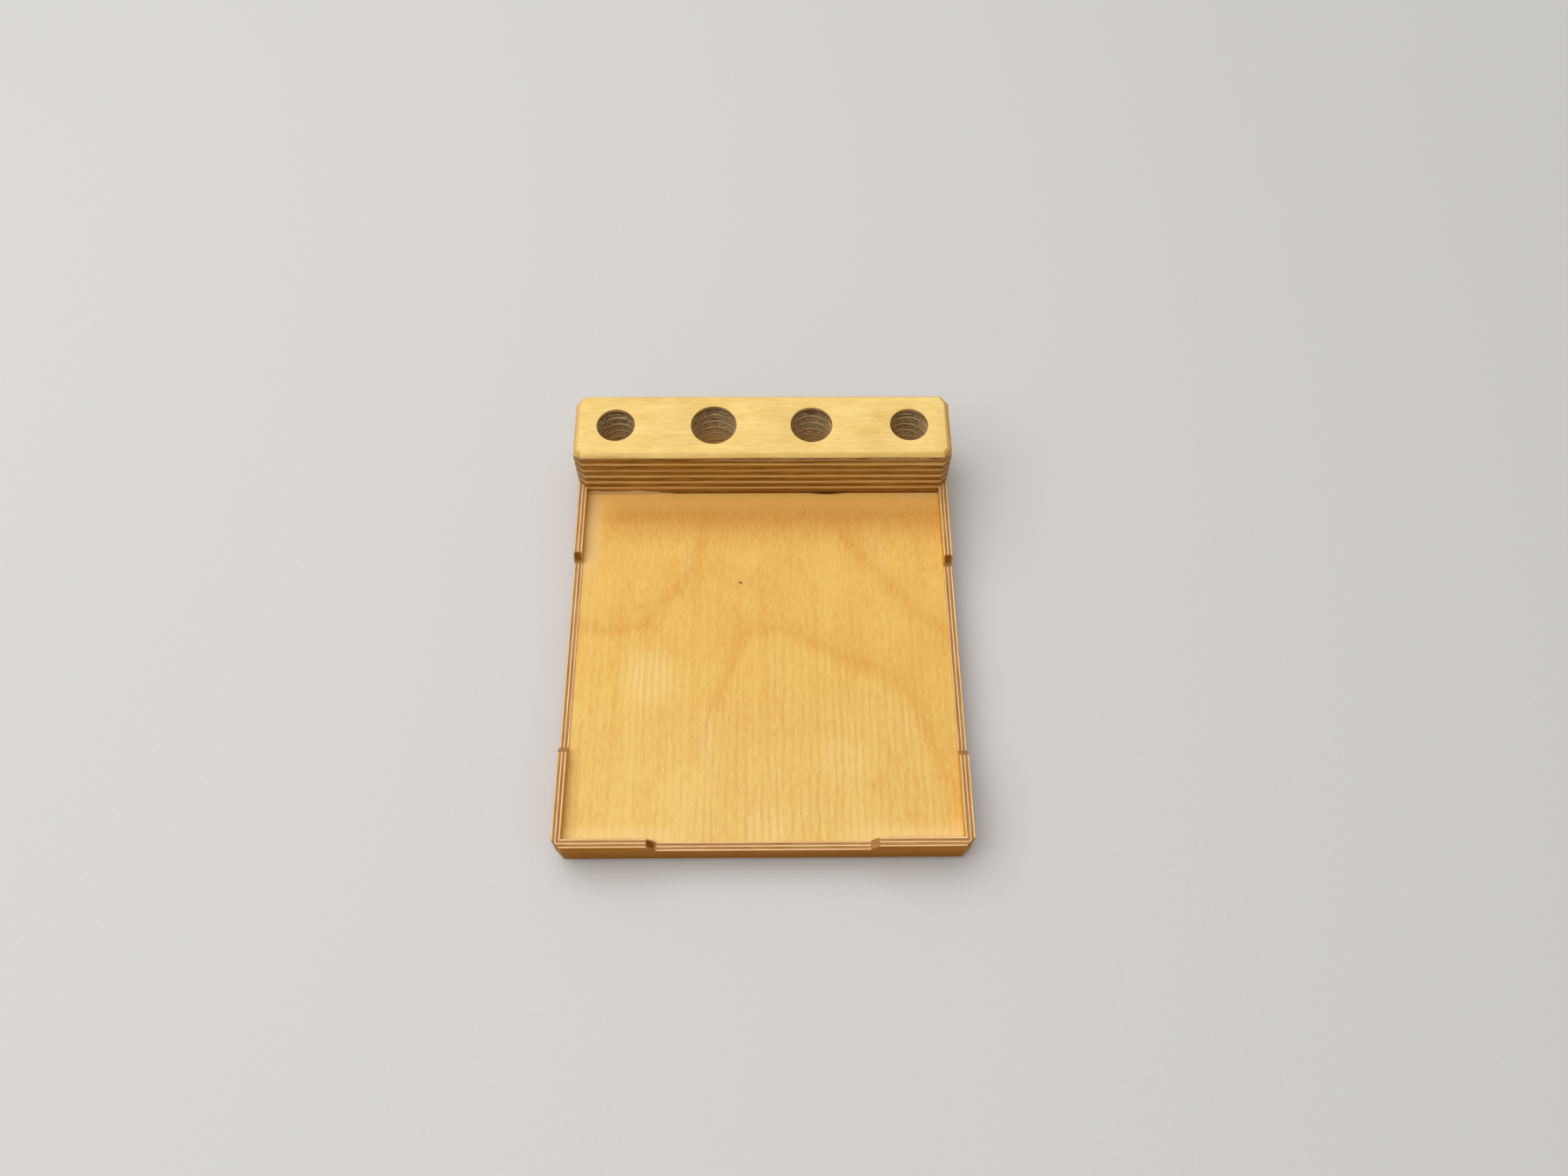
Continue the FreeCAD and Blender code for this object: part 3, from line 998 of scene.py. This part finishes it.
def studio_floor():
    """Plain pale floor that fades into the surround far from the part."""
    corners = [(FLOOR_REACH * x, FLOOR_REACH * y, 0.0) for x, y in ((-1, -1), (1, -1), (1, 1), (-1, 1))]
    mesh = bpy.data.meshes.new("studio_floor")
    mesh.from_pydata(corners, [], [(0, 1, 2, 3)])
    floor = bpy.data.objects.new("studio_floor", mesh)
    bpy.context.scene.collection.objects.link(floor)
    shader = Shader("pale_floor")
    color = shader.mix(shader.cloud(shader.mm, 0.8, 3.0), *STUDIO_FLOOR)
    mesh.materials.append(shader.finish(color, 0.7))
    output = next(node for node in shader.tree.nodes if node.type == "OUTPUT_MATERIAL")
    lit = output.inputs["Surface"].links[0].from_socket
    from_part = shader.add("VectorMath", {0: shader.place}, "Value", operation="LENGTH")
    far = shader.product(shader.smooth(from_part, *FLOOR_FADE), seen_directly(shader.tree))
    surround = shader.add("Emission", {"Color": shader.color(SURROUND)})
    faded = shader.add("MixShader", {0: far, 1: lit, 2: surround})
    shader.tree.links.new(faded, output.inputs["Surface"])


def studio_light():
    """One large soft panel above, to the left, and an even dim surround that the camera sees as pale."""
    data = bpy.data.lights.new("soft_panel", "AREA")
    data.shape = "RECTANGLE"
    data.size = PANEL_WIDTH
    data.size_y = PANEL_DEPTH
    data.energy = PANEL_POWER
    panel = bpy.data.objects.new("soft_panel", data)
    panel.location = PANEL_PLACE
    panel.rotation_euler = (-PANEL_PLACE).to_track_quat("-Z", "Y").to_euler()
    bpy.context.scene.collection.objects.link(panel)

    world = bpy.data.worlds.new("surround")
    world.use_nodes = True
    tree = world.node_tree
    mix = tree.nodes.new("ShaderNodeMix")
    mix.data_type = "RGBA"
    mix.inputs[6].default_value = (*SURROUND_LIGHT, 1.0)
    mix.inputs[7].default_value = (*SURROUND, 1.0)
    tree.links.new(seen_directly(tree), mix.inputs[0])
    tree.links.new(mix.outputs[2], tree.nodes["Background"].inputs["Color"])
    bpy.context.scene.world = world


def photo_camera():
    """Camera at the photograph's place and angle."""
    data = bpy.data.cameras.new("photo_camera")
    data.lens = data.sensor_width * FOCAL_LENGTH_PX / PHOTO_WIDTH_PX
    data.clip_start = CAMERA_NEAR * MM
    camera = bpy.data.objects.new("photo_camera", data)
    heading = Matrix.Rotation(-CAMERA_RIGHT, 4, "Z")
    tilt = Matrix.Rotation(math.pi / 2 - CAMERA_DOWN, 4, "X")
    roll = Matrix.Rotation(CAMERA_ROLL, 4, "Z")
    camera.matrix_world = Matrix.Translation(CAMERA_PLACE) @ heading @ tilt @ roll
    bpy.context.scene.collection.objects.link(camera)
    bpy.context.scene.camera = camera


block_ply_count = sum(name.startswith("block_ply") for name in nodes)
ply_boxes = [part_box(f"block_ply_{number:02d}") for number in range(1, block_ply_count + 1)]
ply_heights = [(high.z - low.z) / MM for low, high in ply_boxes]
block_front = ply_boxes[0][0].y / MM
block_back = ply_boxes[0][1].y / MM
block_end = ply_boxes[0][1].x / MM
block_top = ply_boxes[0][1].z / MM
block_foot = ply_boxes[-1][0].z / MM
corner_cut, top_chamfer = block_cuts()

veneers = veneer_materials()
dress_nodes(veneers)
for ply_number in range(1, block_ply_count + 1):
    block_ply(ply_number, veneers["block_ply", ply_number % 2])
studio_floor()
studio_light()
photo_camera()
bpy.context.scene.view_settings.view_transform = "Standard"
